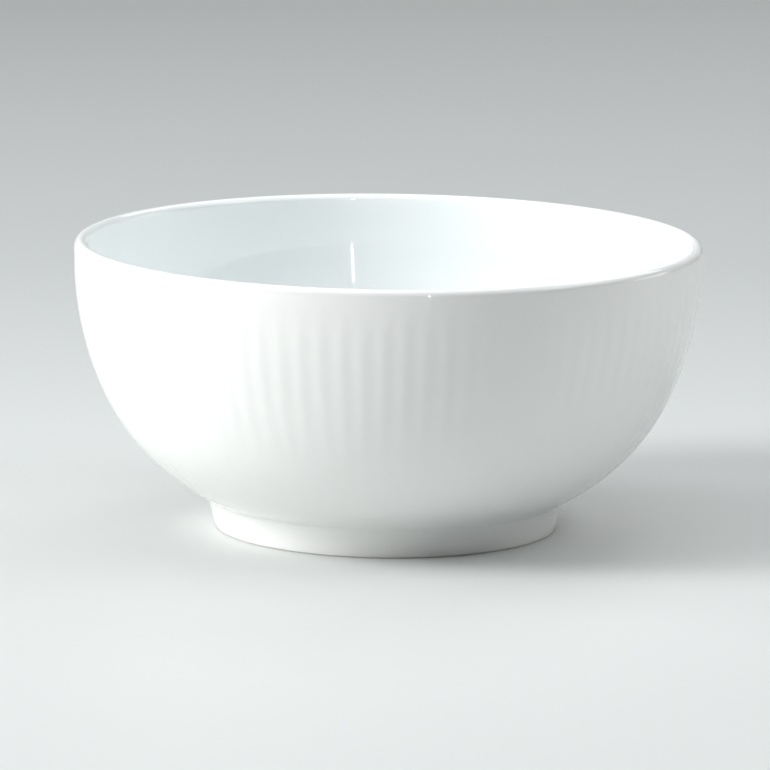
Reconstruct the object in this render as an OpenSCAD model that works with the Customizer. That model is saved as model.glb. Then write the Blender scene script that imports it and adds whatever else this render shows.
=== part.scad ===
// Porcelain serving bowl: a round, steep-sided bowl on a low foot ring, with a clear glaze over
// everything but the edge that it stands on. Millimetres, +Z up. The origin is the middle of the
// standing edge. The wall is the plain one that the bowl's shallow flutes are pressed into: they
// are under two tenths of a millimetre deep, and belong to the finish and not to these solids.

/* [Bowl] */
// Outside diameter at the rim
rim_d = 210; // [205:0.5:220]
// Height from the standing edge to the top of the lip
bowl_h = 96.9; // [96:0.1:99]
// Thickness of the finished wall at the lip, glaze included
wall_t = 4.3; // [3.8:0.1:4.8]

/* [Wall curve] */
// Height at which the outside of the wall stands vertical
widest_z = 90.9; // [89:0.1:92]
// Radius of the upper arc of the wall's section
upper_r = 107.2; // [104:0.1:112]
// Angle that the upper arc turns through, down from the vertical
upper_sweep = 24.7; // [23:0.1:26]
// Radius of the lower arc, which runs on from the upper one
lower_r = 75.1; // [73:0.1:77]

/* [Inside] */
// Radius of the inside wall's arc, which is plumb where the outside is and thickens the wall below
inner_r = 94; // [92:0.5:98]
// Angle that this arc turns through
inner_sweep = 29; // [28:0.5:30]
// Height of the inside of the floor at its middle
floor_z = 11; // [10.5:0.1:12]
// Radius of the floor's shallow dish
floor_r = 600; // [400:50:1200]
// Depth of the well under the bowl, inside the foot ring
well_depth = 6; // [5:0.1:6.5]

/* [Foot ring] */
// Outside diameter of the foot ring where it stands
foot_d = 114.8; // [112:0.1:116]
// Lean of the foot ring's outside, in degrees from the vertical
foot_lean = 14.6; // [10:0.1:16]
// Width of the foot ring where it stands
foot_w = 5.6; // [5:0.1:6.5]
// Chamfer ground along both sides of the standing edge
edge_cut = 0.3; // [0.2:0.05:0.35]
// Rounding of the glazed corner between the foot ring and the well
well_round = 2.4; // [1.5:0.1:3]

/* [Glaze] */
// Thickness of the glaze
glaze_t = 0.3; // [0.2:0.05:0.4]
// Height of the bare band between the glaze and the standing edge
bare_h = 0.4; // [0.4:0.1:1.2]

/* [Hidden] */
$fn = 180;
section_fn = 720;
spare = 1;
// Each smaller arc is this much too large, so that it crosses the arc it runs into cleanly
hair = 0.0005;

rim_r = rim_d / 2;
foot_r = foot_d / 2;
lip_z = bowl_h - wall_t / 2;

// The normal of the wall where its two arcs meet, and the arcs' centres, as [radius, height]
join_n = [cos(upper_sweep), -sin(upper_sweep)];
upper_c = [rim_r - upper_r, widest_z];
join = upper_c + upper_r * join_n;
lower_c = join - lower_r * join_n;

// The inside wall's arc, and the knuckle, which is the arc from it into the dish of the floor. The
// knuckle's centre lies on the normal where the two meet, and it touches the dish on a shared tangent.
inner_n = [cos(inner_sweep), -sin(inner_sweep)];
inner_c = [rim_r - wall_t - inner_r, widest_z];
inner_join = inner_c + inner_r * inner_n;
floor_c = [0, floor_z + floor_r];
floor_gap = inner_join - floor_c;
knuckle_r = (floor_r ^ 2 - floor_gap * floor_gap) / (2 * (floor_r - floor_gap * inner_n));
knuckle_c = inner_join - knuckle_r * inner_n;
dish_edge = knuckle_c + knuckle_r * (knuckle_c - floor_c) / norm(knuckle_c - floor_c);

well_r = foot_r - foot_w;
well_roof = well_depth + glaze_t;
foot_top_z = 12;

// Everything inside the outside of the wall, with that outside moved in by skin
module wall_outside(skin) {
    intersection() {
        union() {
            translate(lower_c)
                circle(r = lower_r - skin + hair, $fn = section_fn);
            square([lower_c.x, lip_z]);
            intersection() {
                translate(upper_c)
                    circle(r = upper_r - skin, $fn = section_fn);
                translate([0, join.y - skin * join_n.y])
                    square([rim_d, widest_z - join.y + skin * join_n.y]);
            }
            translate([0, widest_z])
                square([rim_r - skin, bowl_h - widest_z]);
        }
        square([rim_d, lip_z]);
    }
}

// The hollow of the bowl, with its surface moved out by skin
module hollow(skin) {
    intersection() {
        union() {
            translate(knuckle_c)
                circle(r = knuckle_r + skin + hair, $fn = section_fn);
            intersection() {
                translate(inner_c)
                    circle(r = inner_r + skin, $fn = section_fn);
                translate([0, inner_join.y + skin * inner_n.y])
                    square([rim_d, widest_z - inner_join.y - skin * inner_n.y]);
            }
            translate([0, widest_z])
                square([rim_r - wall_t + skin, bowl_h]);
            intersection() {
                translate(floor_c)
                    circle(r = floor_r + skin, $fn = 4 * section_fn);
                square([dish_edge.x, bowl_h]);
            }
        }
        square([rim_d, bowl_h + spare]);
    }
}

// The rounded lip
module lip(skin) {
    translate([rim_r - wall_t / 2, lip_z])
        circle(r = wall_t / 2 - skin, $fn = section_fn);
}

// The wall, lip and floor down to the height low_z
module vessel_section(skin, low_z) {
    difference() {
        intersection() {
            wall_outside(skin);
            translate([0, low_z])
                square([rim_d, bowl_h]);
        }
        hollow(skin);
    }
    lip(skin);
}

// The foot ring before the wall is cut from its top, with its glazed sides moved in by skin
module foot_section(skin) {
    reach = foot_top_z * tan(foot_lean);
    out_r = foot_r - skin / cos(foot_lean);
    in_r = well_r + skin;
    polygon([
        [in_r + edge_cut, 0],
        [out_r - edge_cut, 0],
        [out_r + edge_cut * tan(foot_lean), edge_cut],
        [out_r + reach, foot_top_z],
        [in_r, foot_top_z],
        [in_r, edge_cut]
    ]);
}

// The space under the bowl, inside the glazed foot ring, with its upper corner rounded
module well_space() {
    square([well_r - well_round, well_depth]);
    square([well_r, well_depth - well_round]);
    translate([well_r - well_round, well_depth - well_round])
        circle(r = well_round, $fn = section_fn);
}

module vessel_body() {
    color("white")
        rotate_extrude()
            vessel_section(glaze_t, well_roof);
}

module foot_ring_section() {
    difference() {
        foot_section(glaze_t);
        wall_outside(glaze_t);
    }
}

module foot_ring() {
    color("whitesmoke")
        rotate_extrude()
            foot_ring_section();
}

// One layer of glass over the inside, the lip, the outside and the outside of the foot ring
module glaze_coat() {
    color("azure")
        rotate_extrude()
            difference() {
                union() {
                    vessel_section(0, well_roof + spare);
                    foot_section(0);
                }
                vessel_section(glaze_t, well_roof);
                foot_ring_section();
                square([rim_d, bare_h]);
                square([well_r + foot_w / 2, well_roof + spare]);
            }
}

// The glaze in the well, parted from the main coat by the bare standing edge
module foot_well_glaze() {
    color("aliceblue")
        rotate_extrude()
            difference() {
                square([well_r + glaze_t, well_roof + spare]);
                vessel_section(glaze_t, well_roof);
                well_space();
                square([rim_d, bare_h]);
            }
}

vessel_body();
foot_ring();
glaze_coat();
foot_well_glaze();
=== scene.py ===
"""Porcelain serving bowl: the glazed, fluted bowl on a pale floor in soft studio light.

Each piece is a meridian outline, worked out from the frame's boxes and a few arcs, that is turned
round the bowl's axis. An outline is a list of section points, in metres: the radius, the height,
the outward normal there, and how much of the flutes' depth the point takes.
"""

import math

import bpy
import numpy as np
from mathutils import Matrix, Vector


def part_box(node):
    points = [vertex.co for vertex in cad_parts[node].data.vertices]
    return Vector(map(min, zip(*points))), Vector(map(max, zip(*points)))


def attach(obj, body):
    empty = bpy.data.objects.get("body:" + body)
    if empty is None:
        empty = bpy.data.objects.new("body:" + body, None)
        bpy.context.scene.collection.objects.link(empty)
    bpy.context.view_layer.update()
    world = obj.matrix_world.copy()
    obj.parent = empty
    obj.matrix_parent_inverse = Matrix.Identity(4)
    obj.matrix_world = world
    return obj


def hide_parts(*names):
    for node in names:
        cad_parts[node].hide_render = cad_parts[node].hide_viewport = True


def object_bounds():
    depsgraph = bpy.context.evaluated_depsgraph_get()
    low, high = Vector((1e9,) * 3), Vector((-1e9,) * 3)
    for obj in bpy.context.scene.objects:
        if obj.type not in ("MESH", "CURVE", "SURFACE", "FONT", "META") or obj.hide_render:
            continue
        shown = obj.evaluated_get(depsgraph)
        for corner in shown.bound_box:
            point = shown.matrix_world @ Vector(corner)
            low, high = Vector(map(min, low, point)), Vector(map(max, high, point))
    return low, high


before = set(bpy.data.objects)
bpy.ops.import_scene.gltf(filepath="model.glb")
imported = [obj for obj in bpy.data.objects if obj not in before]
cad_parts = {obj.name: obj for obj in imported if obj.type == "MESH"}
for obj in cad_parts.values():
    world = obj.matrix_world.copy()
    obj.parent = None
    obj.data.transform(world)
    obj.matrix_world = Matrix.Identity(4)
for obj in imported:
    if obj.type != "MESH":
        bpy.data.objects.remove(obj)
cad_low, cad_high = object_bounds()

MM = 0.001


def vec(r, z):
    return np.array([r, z], float)


def angle_of(v):
    return math.atan2(v[1], v[0])


# ---- The bowl's dimensions: the frame's boxes give the overall ones, the rest follow part.scad ----
RIM_R = (cad_high.x - cad_low.x) / 2
HEIGHT = cad_high.z
WALL_T = 4.3 * MM
LIP_Z = HEIGHT - WALL_T / 2
GLAZE_T = 0.3 * MM
BARE_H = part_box("glaze_coat")[0].z

# The outside of the wall is an upper and a lower arc, the inside an arc, a knuckle and a dish
WIDEST_Z = 90.9 * MM
UPPER_R = 107.2 * MM
UPPER_SWEEP = math.radians(24.7)
LOWER_R = 75.1 * MM
INNER_R = 94 * MM
INNER_SWEEP = math.radians(29)
FLOOR_Z = 11 * MM
DISH_R = 600 * MM

FOOT_R = 57.4 * MM
FOOT_LEAN = math.radians(14.6)
WELL_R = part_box("foot_well_glaze")[1].x - GLAZE_T
WELL_DEPTH = 6 * MM
WELL_ROUND = 2.4 * MM
ROOF_Z = WELL_DEPTH + GLAZE_T
RING_IN_R = WELL_R + GLAZE_T
EDGE_ROUND = 0.35 * MM
# The glaze ends this far above the bare band, with a rounded corner, and a hair clear of the clay
GLAZE_END_RISE = 0.1 * MM
GLAZE_END_ROUND = 0.12 * MM
GLAZE_END_GAP = 0.01 * MM
CORNER_FILLET = 2.0 * MM
SHARP_ANGLE = math.radians(50)

FLUTES = 96
COLUMNS_PER_FLUTE = 8
FLUTED_COLUMNS = FLUTES * COLUMNS_PER_FLUTE
PLAIN_COLUMNS = 384
FLUTE_PHASE = math.radians(-0.725)
GLAZE_FLUTE = 0.105 * MM
BISCUIT_FLUTE = 0.17 * MM
# The flutes start and reach their full depth at these heights, down from the lip
FLUTE_TOP = (91 * MM, 80 * MM)
# They are shallower from the first of these heights down to the second, and run on at that share
FLUTE_EASE = (68 * MM, 32 * MM)
FLUTE_LEAST = 0.2
# They run out between these heights, above the foot
FLUTE_END = (24 * MM, 14 * MM)

JOIN_N = vec(math.cos(UPPER_SWEEP), -math.sin(UPPER_SWEEP))
UPPER_C = vec(RIM_R - UPPER_R, WIDEST_Z)
LOWER_C = UPPER_C + (UPPER_R - LOWER_R) * JOIN_N
LIP_C = vec(RIM_R - WALL_T / 2, LIP_Z)
FOOT_N = vec(math.cos(FOOT_LEAN), -math.sin(FOOT_LEAN))
FOOT_UP = vec(math.sin(FOOT_LEAN), math.cos(FOOT_LEAN))
DOWN = -math.pi / 2

# The knuckle's centre lies on the normal at the end of the inside arc, and it touches the dish
INNER_N = vec(math.cos(INNER_SWEEP), -math.sin(INNER_SWEEP))
INNER_C = vec(RIM_R - WALL_T - INNER_R, WIDEST_Z)
DISH_C = vec(0, FLOOR_Z + DISH_R)
DISH_GAP = INNER_C + INNER_R * INNER_N - DISH_C
KNUCKLE_R = (DISH_R**2 - DISH_GAP @ DISH_GAP) / (2 * (DISH_R - DISH_GAP @ INNER_N))
KNUCKLE_C = INNER_C + (INNER_R - KNUCKLE_R) * INNER_N
DISH_ANGLE = angle_of(KNUCKLE_C - DISH_C)


# ---- Outlines ----
def smooth(x):
    x = min(max(x, 0.0), 1.0)
    return x * x * (3 - 2 * x)


def ramp(z, ends):
    """1 at the first height, 0 at the second, and smooth between them."""
    return smooth((z - ends[1]) / (ends[0] - ends[1]))


def flute_share(z):
    """How deep the flutes are at a height: deepest under the lip, and dying out above the foot."""
    eased = FLUTE_LEAST + (1 - FLUTE_LEAST) * ramp(z, FLUTE_EASE)
    return (1 - ramp(z, FLUTE_TOP)) * eased * ramp(z, FLUTE_END)


def arc(centre, radius, start, stop, steps, facing=1, fluted=False):
    """Section points round an arc, from one angle to another. facing is -1 on a hollow side."""
    points = []
    for angle in np.linspace(start, stop, steps + 1):
        out = vec(math.cos(angle), math.sin(angle))
        r, z = centre + radius * out
        points.append((max(r, 0.0), z, *(facing * out), flute_share(z) if fluted else 0.0))
    return points


def line(start, stop, steps, normal):
    """Section points along a straight side."""
    return [(*(start + (stop - start) * k), *normal, 0.0) for k in np.linspace(0, 1, steps + 1)]


def on_foot_side(skin, z):
    """The point of the foot's leaning side, moved in by skin, at a height."""
    low = vec(FOOT_R, 0) - skin * FOOT_N
    return low + FOOT_UP * ((z - low[1]) / FOOT_UP[1])


def up_to(start, along, centre, radius):
    """Where a line that runs up from start meets a circle that it starts outside of."""
    gap = start - centre
    reach = gap @ along
    return start + along * (-reach - math.sqrt(reach**2 - gap @ gap + radius**2))


def wall_angle_at_height(z, skin):
    return -math.asin((LOWER_C[1] - z) / (LOWER_R - skin))


def wall_angle_at_radius(r, skin):
    return -math.acos((r - LOWER_C[0]) / (LOWER_R - skin))


# The clay's corner under the glaze, where the ring's side meets the wall
CLAY_WALL_R = LOWER_R - GLAZE_T
CLAY_CORNER = up_to(on_foot_side(GLAZE_T, 0), FOOT_UP, LOWER_C, CLAY_WALL_R)
CLAY_CORNER_ANGLE = angle_of(CLAY_CORNER - LOWER_C)

# The glaze pools in that corner: its fillet rolls on the glazed foot and the glazed wall
FILLET_C = up_to(on_foot_side(-CORNER_FILLET, 0), FOOT_UP, LOWER_C, LOWER_R + CORNER_FILLET)
FILLET_ANGLE = angle_of(FILLET_C - LOWER_C)


def outside(skin, low_angle, lower_rows, upper_rows):
    """The outside of the wall moved in by skin, from an angle on its lower arc up to the lip."""
    lower = arc(LOWER_C, LOWER_R - skin, low_angle, -UPPER_SWEEP, lower_rows, fluted=True)
    upper = arc(UPPER_C, UPPER_R - skin, -UPPER_SWEEP, 0, upper_rows, fluted=True)
    return lower + upper[1:]


def lip(skin, rows):
    return arc(LIP_C, WALL_T / 2 - skin, 0, math.pi, rows)


def inside(skin, wall_rows, knuckle_rows, dish_rows):
    """The hollow's surface moved out by skin, from the lip down to the middle of the floor."""
    wall = arc(INNER_C, INNER_R + skin, 0, -INNER_SWEEP, wall_rows, facing=-1)
    knuckle = arc(KNUCKLE_C, KNUCKLE_R + skin, -INNER_SWEEP, DISH_ANGLE, knuckle_rows, facing=-1)
    dish = arc(DISH_C, DISH_R + skin, DISH_ANGLE, DOWN, dish_rows, facing=-1)
    return wall + knuckle[1:] + dish[1:]


def glazed_foot(low, side_rows, fillet_rows):
    """The glazed side of the foot, up from a point, and round the fillet."""
    side = line(low, FILLET_C - CORNER_FILLET * FOOT_N, side_rows, FOOT_N)
    start, stop = angle_of(-FOOT_N), angle_of(LOWER_C - FILLET_C)
    turn = arc(FILLET_C, CORNER_FILLET, start, stop, fillet_rows, facing=-1)
    return side + turn[1:-1]


def glaze_end(clay_point, normal, down, rows):
    """The glaze's end, from the clay out to the glazed face, with its corner rounded."""
    flat = (*(clay_point + GLAZE_END_GAP * normal), *down, 0.0)
    corner = clay_point + (GLAZE_T - GLAZE_END_ROUND) * normal - GLAZE_END_ROUND * down
    points = [flat]
    for angle in np.linspace(math.pi / 2, 0, rows + 1):
        out = math.cos(angle) * normal + math.sin(angle) * down
        points.append((*(corner + GLAZE_END_ROUND * out), *out, 0.0))
    return points


def clay_wall():
    """The clay's surface under the main coat, from the corner at the foot up, over and in."""
    return outside(GLAZE_T, CLAY_CORNER_ANGLE, 11, 8) + lip(GLAZE_T, 6) + inside(GLAZE_T, 6, 10, 3)


def glaze_coat_outline():
    clay_end = on_foot_side(GLAZE_T, BARE_H) + GLAZE_END_RISE * FOOT_UP
    end = glaze_end(clay_end, FOOT_N, -FOOT_UP, 4)
    seen = (
        end[:-1]
        + glazed_foot(vec(*end[-1][:2]), 3, 6)
        + outside(0, FILLET_ANGLE, 14, 18)
        + lip(0, 12)
        + inside(0, 7, 10, 3)
    )
    against_clay = clay_wall()
    return [(seen, GLAZE_FLUTE), (against_clay[::-1], BISCUIT_FLUTE)]


def vessel_outline():
    low_angle = wall_angle_at_height(ROOF_Z, GLAZE_T)
    corner_r = LOWER_C[0] + CLAY_WALL_R * math.cos(low_angle)
    under = line(vec(0, ROOF_Z), vec(corner_r, ROOF_Z), 3, vec(0, -1))
    over_ring = arc(LOWER_C, CLAY_WALL_R, low_angle, CLAY_CORNER_ANGLE, 4)
    return [(under[:-1] + over_ring[:-1] + clay_wall(), BISCUIT_FLUTE)]


def foot_ring_outline():
    """The clay ring: its flat standing edge, rounded on both sides, its leaning outside, its top
    against the wall, and its plumb inside."""
    out_c = on_foot_side(GLAZE_T + EDGE_ROUND, EDGE_ROUND)
    in_c = vec(RING_IN_R + EDGE_ROUND, EDGE_ROUND)
    top_stop = wall_angle_at_radius(RING_IN_R, GLAZE_T)
    top = arc(LOWER_C, CLAY_WALL_R, CLAY_CORNER_ANGLE, top_stop, 6, facing=-1)
    inner_top = vec(*top[-1][:2])
    return [
        (
            arc(in_c, EDGE_ROUND, -math.pi, DOWN, 6)
            + arc(out_c, EDGE_ROUND, DOWN, angle_of(FOOT_N), 6)
            + line(out_c + EDGE_ROUND * FOOT_N, CLAY_CORNER, 8, FOOT_N)[1:]
            + top[1:]
            + line(inner_top, vec(RING_IN_R, EDGE_ROUND), 5, vec(-1, 0))[1:-1],
            0.0,
        )
    ]


def well_glaze_outline():
    """The glaze in the well: up its plumb side, round the corner and in under the roof."""
    clay_end = vec(RING_IN_R, BARE_H)
    end = glaze_end(clay_end, vec(-1, 0), vec(0, -1), 4)
    corner_c = vec(WELL_R - WELL_ROUND, WELL_DEPTH - WELL_ROUND)
    roof_angle = wall_angle_at_height(ROOF_Z, GLAZE_T)
    side_angle = wall_angle_at_radius(RING_IN_R, GLAZE_T)
    seen = (
        end
        + arc(corner_c, WELL_ROUND, 0, math.pi / 2, 10, facing=-1)
        + line(vec(corner_c[0], WELL_DEPTH), vec(0, WELL_DEPTH), 6, vec(0, -1))[1:]
    )
    against_clay = (
        line(vec(0, ROOF_Z), vec(LOWER_C[0], ROOF_Z), 1, vec(0, 1))
        + arc(LOWER_C, CLAY_WALL_R, roof_angle, side_angle, 3)
    )
    return [((seen + against_clay)[::-1], 0.0)]


# ---- Meshes ----
def turned(name, outlines, columns):
    """A closed mesh turned round Z from outlines joined end to end, each given with the depth of
    its flutes. A section point on the axis becomes one vertex."""
    angles = np.arange(columns) * (2 * math.pi / columns) - math.pi / 2
    wave = 0.5 - 0.5 * np.cos(FLUTES * (np.arange(columns) * (2 * math.pi / columns) - FLUTE_PHASE))
    verts, rings = [], []
    for points, depth in outlines:
        for r, z, normal_r, normal_z, share in points:
            first = len(verts)
            if r < 0.001 * MM:
                verts.append((0.0, 0.0, z))
                rings.append([first] * columns)
                continue
            sink = depth * share * wave
            radii = r - normal_r * sink
            heights = z - normal_z * sink
            verts.extend(zip(radii * np.cos(angles), radii * np.sin(angles), heights))
            rings.append(range(first, first + columns))
    faces = []
    for lower, upper in zip(rings, rings[1:] + rings[:1]):
        for column in range(columns):
            beside = (column + 1) % columns
            face = [lower[column], lower[beside], upper[beside], upper[column]]
            face = [v for k, v in enumerate(face) if v != face[k - 1]]
            if len(face) > 2:
                faces.append(face)
    mesh = bpy.data.meshes.new(name)
    mesh.from_pydata(verts, [], faces)
    mesh.validate()
    mesh.shade_smooth()
    mesh.set_sharp_from_angle(angle=SHARP_ANGLE)
    piece = bpy.data.objects.new(name, mesh)
    bpy.context.scene.collection.objects.link(piece)
    return piece


# ---- Materials ----
class Shader:
    """A material with a Principled BSDF, and short ways to add nodes to it."""

    def __init__(self, name):
        self.material = bpy.data.materials.new(name)
        self.material.use_nodes = True
        self.tree = self.material.node_tree
        self.surface = self.tree.nodes["Principled BSDF"]
        where = self.tree.nodes.new("ShaderNodeTexCoord")
        self.place = where.outputs["Object"]
        self.normal = where.outputs["Normal"]

    def link(self, output, target):
        self.tree.links.new(output, target)

    def noise(self, feature_size, detail=2.0, roughness=0.5):
        """Noise with features of about this size, in metres, fixed to the piece."""
        node = self.tree.nodes.new("ShaderNodeTexNoise")
        node.inputs["Scale"].default_value = 1 / feature_size
        node.inputs["Detail"].default_value = detail
        node.inputs["Roughness"].default_value = roughness
        self.link(self.place, node.inputs["Vector"])
        return node.outputs["Fac"]

    def spread(self, value, low, high, to_low, to_high):
        """value, from low to high, mapped to the range to_low to to_high and held within it."""
        node = self.tree.nodes.new("ShaderNodeMapRange")
        for socket, number in zip(("From Min", "From Max", "To Min", "To Max"), (low, high, to_low, to_high)):
            node.inputs[socket].default_value = number
        self.link(value, node.inputs["Value"])
        return node.outputs["Result"]

    def mix(self, share, first, second):
        """The colour first where share is 0, second where it is 1. Either may be an output."""
        node = self.tree.nodes.new("ShaderNodeMix")
        node.data_type = "RGBA"
        self.link(share, node.inputs["Factor"])
        for socket, colour in ((node.inputs[6], first), (node.inputs[7], second)):
            if isinstance(colour, tuple):
                socket.default_value = (*colour, 1)
            else:
                self.link(colour, socket)
        return node.outputs[2]

    def vector(self, operation, *inputs, result="Vector"):
        """What a vector maths node makes of its inputs, which are constants or outputs."""
        node = self.tree.nodes.new("ShaderNodeVectorMath")
        node.operation = operation
        for socket, value in zip(node.inputs, inputs):
            if isinstance(value, tuple):
                socket.default_value = value
            else:
                self.link(value, socket)
        return node.outputs[result]

    def inward(self):
        """1 where the surface faces the piece's own Z axis or up, and 0 where it faces out or down."""
        flat = self.vector("MULTIPLY", self.place, (-1, -1, 0))
        lifted = self.vector("ADD", self.vector("NORMALIZE", flat), (0, 0, 1))
        facing = self.vector("DOT_PRODUCT", lifted, self.normal, result="Value")
        return self.spread(facing, -0.2, 0.8, 0, 1)

    def bump(self, height, distance, strength=1.0, under=None):
        node = self.tree.nodes.new("ShaderNodeBump")
        node.inputs["Distance"].default_value = distance
        node.inputs["Strength"].default_value = strength
        self.link(height, node.inputs["Height"])
        if under is not None:
            self.link(under, node.inputs["Normal"])
        return node.outputs["Normal"]


def glaze_material():
    """Clear glaze over white, a little cooler where it faces inward or up: a painted tint for the cooler
    light bounced round inside the bowl.
    """
    shader = Shader("glaze")
    surface = shader.surface
    cloud = shader.spread(shader.noise(60 * MM), 0.35, 0.65, 0, 1)
    outward_body = shader.mix(cloud, (0.930, 0.944, 0.933), (0.941, 0.953, 0.942))
    # The second colour is a painted tint standing for the cooler light bounced round inside the bowl; it is
    # laid on where the glaze faces inward or up.
    bounce_tint = shader.mix(cloud, (0.910, 0.949, 0.951), (0.922, 0.957, 0.958))
    body = shader.mix(shader.inward(), outward_body, bounce_tint)
    shader.link(body, surface.inputs["Base Color"])
    shader.link(shader.spread(shader.noise(25 * MM), 0.3, 0.7, 0.035, 0.06), surface.inputs["Roughness"])
    wave = shader.bump(shader.noise(14 * MM, detail=1), 0.02 * MM)
    peel = shader.bump(shader.noise(2.5 * MM, detail=1), 0.0008 * MM, under=wave)
    shader.link(peel, surface.inputs["Normal"])
    surface.inputs["IOR"].default_value = 1.52
    return shader.material


def biscuit_material():
    shader = Shader("biscuit")
    surface = shader.surface
    cloud = shader.spread(shader.noise(9 * MM, detail=4), 0.35, 0.65, 0, 1)
    body = shader.mix(cloud, (0.74, 0.725, 0.685), (0.80, 0.79, 0.755))
    grain = shader.noise(0.35 * MM, detail=3)
    pit = shader.spread(grain, 0.68, 0.78, 0, 1)
    shader.link(shader.mix(pit, body, (0.50, 0.48, 0.44)), surface.inputs["Base Color"])
    shader.link(shader.spread(grain, 0.3, 0.7, 0.52, 0.68), surface.inputs["Roughness"])
    shader.link(shader.bump(grain, 0.03 * MM), surface.inputs["Normal"])
    return shader.material


GLAZE = glaze_material()
BISCUIT = biscuit_material()


def finish(piece, material, node):
    piece.data.materials.append(material)
    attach(piece, "root")
    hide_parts(node)


finish(turned("glaze", glaze_coat_outline(), FLUTED_COLUMNS), GLAZE, "glaze_coat")
finish(turned("vessel", vessel_outline(), FLUTED_COLUMNS), BISCUIT, "vessel_body")
finish(turned("foot", foot_ring_outline(), PLAIN_COLUMNS), BISCUIT, "foot_ring")
finish(turned("well_glaze", well_glaze_outline(), PLAIN_COLUMNS), GLAZE, "foot_well_glaze")


# ---- Floor ----
FLOOR_HALF = 8.0


def floor():
    mesh = bpy.data.meshes.new("floor")
    corners = [(x * FLOOR_HALF, y * FLOOR_HALF, 0) for x, y in ((-1, -1), (1, -1), (1, 1), (-1, 1))]
    mesh.from_pydata(corners, [], [(0, 1, 2, 3)])
    ground = bpy.data.objects.new("floor", mesh)
    bpy.context.scene.collection.objects.link(ground)
    shader = Shader("floor")
    split = shader.tree.nodes.new("ShaderNodeSeparateXYZ")
    shader.link(shader.place, split.inputs[0])
    # The floor's colour is painted shade: lighter in front of the bowl, darkest about half a metre behind it
    # and a little lighter again farther back, standing in for how the light falls off across the floor.
    falloff_share = shader.spread(split.outputs["Y"], -0.05, 0.55, 0, 1)
    back_falloff_share = shader.spread(split.outputs["Y"], 0.6, 1.5, 0, 1)
    painted_far_shade = shader.mix(back_falloff_share, (0.583, 0.607, 0.605), (0.624, 0.649, 0.647))
    shader.link(shader.mix(falloff_share, (0.698, 0.719, 0.714), painted_far_shade), shader.surface.inputs["Base Color"])
    shader.surface.inputs["Roughness"].default_value = 0.5
    shader.surface.inputs["Specular IOR Level"].default_value = 0.2
    mesh.materials.append(shader.material)


floor()

# ---- Camera ----
CAMERA_DISTANCE = 2.051
CAMERA_ELEVATION = math.radians(10.31)
CAMERA_ROLL = math.radians(0.68)
CAMERA_LENS = 285.8
CAMERA_AIM = Vector((-0.66 * MM, 0, HEIGHT / 2 - 1.05 * MM))


def camera():
    data = bpy.data.cameras.new("camera")
    data.sensor_width = 36
    data.lens = CAMERA_LENS
    data.clip_end = 50
    eye = bpy.data.objects.new("camera", data)
    bpy.context.scene.collection.objects.link(eye)
    back = Vector((0, -math.cos(CAMERA_ELEVATION), math.sin(CAMERA_ELEVATION)))
    right = Vector((1, 0, 0))
    up = back.cross(right)
    axes = Matrix((right, up, back)).transposed().to_4x4()
    place = Matrix.Translation(CAMERA_AIM + CAMERA_DISTANCE * back)
    eye.matrix_world = place @ axes @ Matrix.Rotation(CAMERA_ROLL, 4, "Z")
    bpy.context.scene.camera = eye


camera()

# ---- Light: soft panels round the bowl, each facing it ----
# (name, azimuth, elevation, distance, width, height, watts); azimuth 0 is the camera's side, 90 the right
PANELS = [
    ("key_left", -75, 25, 2.4, 0.7, 0.7, 22),
    ("key_left_high", -75, 40, 2.4, 0.7, 0.7, 15.5),
    ("key_front_high", -60, 40, 2.4, 0.7, 0.7, 11),
    ("left_side", -105, 25, 2.4, 0.7, 0.7, 11),
    ("left_low", -67, 5, 2.4, 0.7, 0.38, 11),
    ("right_front", 60, 40, 2.4, 1.1, 1.1, 6),
    ("right", 85, 47, 2.4, 1.1, 1.1, 9),
    ("right_side", 105, 42, 2.4, 1.1, 1.1, 4),
    ("right_low", 108, 8, 2.4, 0.9, 0.55, 4),
    ("right_back", 150, 45, 2.4, 1.1, 1.1, 9),
    ("back", 180, 50, 2.4, 1.1, 1.1, 3),
    ("top", 0, 90, 1.2, 1.0, 1.0, 5),
]
# Light that comes low over the floor is a little warm, and the light from above a little cool
TINTS = {"left_low": (1, 0.98, 0.92), "right_low": (1, 0.98, 0.92), "top": (0.94, 1, 1.02)}
# Cards that are only there to be reflected: the lip mirrors the one behind the bowl, and the far
# inside wall mirrors the narrow one in front
CARDS = [
    ("back_card", 180, 14, 2.6, 2.6, 1.1, 3.8),
    ("strip", 14.5, 10.5, 2.4, 0.018, 1.05, 2.2),
]


def panel(name, azimuth, elevation, distance, width, height, watts):
    data = bpy.data.lights.new(name, "AREA")
    data.shape = "RECTANGLE"
    data.size = width
    data.size_y = height
    data.energy = watts
    data.color = TINTS.get(name, (1, 1, 1))
    light = bpy.data.objects.new(name, data)
    bpy.context.scene.collection.objects.link(light)
    turn, rise = math.radians(azimuth), math.radians(elevation)
    out = Vector((math.sin(turn) * math.cos(rise), -math.cos(turn) * math.cos(rise), math.sin(rise)))
    light.location = distance * out
    light.rotation_euler = out.to_track_quat("Z", "Y").to_euler()
    return light


for made in PANELS:
    panel(*made)
for made in CARDS:
    panel(*made).visible_diffuse = False

world = bpy.data.worlds.new("world")
world.use_nodes = True
world.node_tree.nodes["Background"].inputs["Color"].default_value = (1, 1, 1, 1)
world.node_tree.nodes["Background"].inputs["Strength"].default_value = 0.01
bpy.context.scene.world = world
bpy.context.scene.view_settings.view_transform = "Standard"
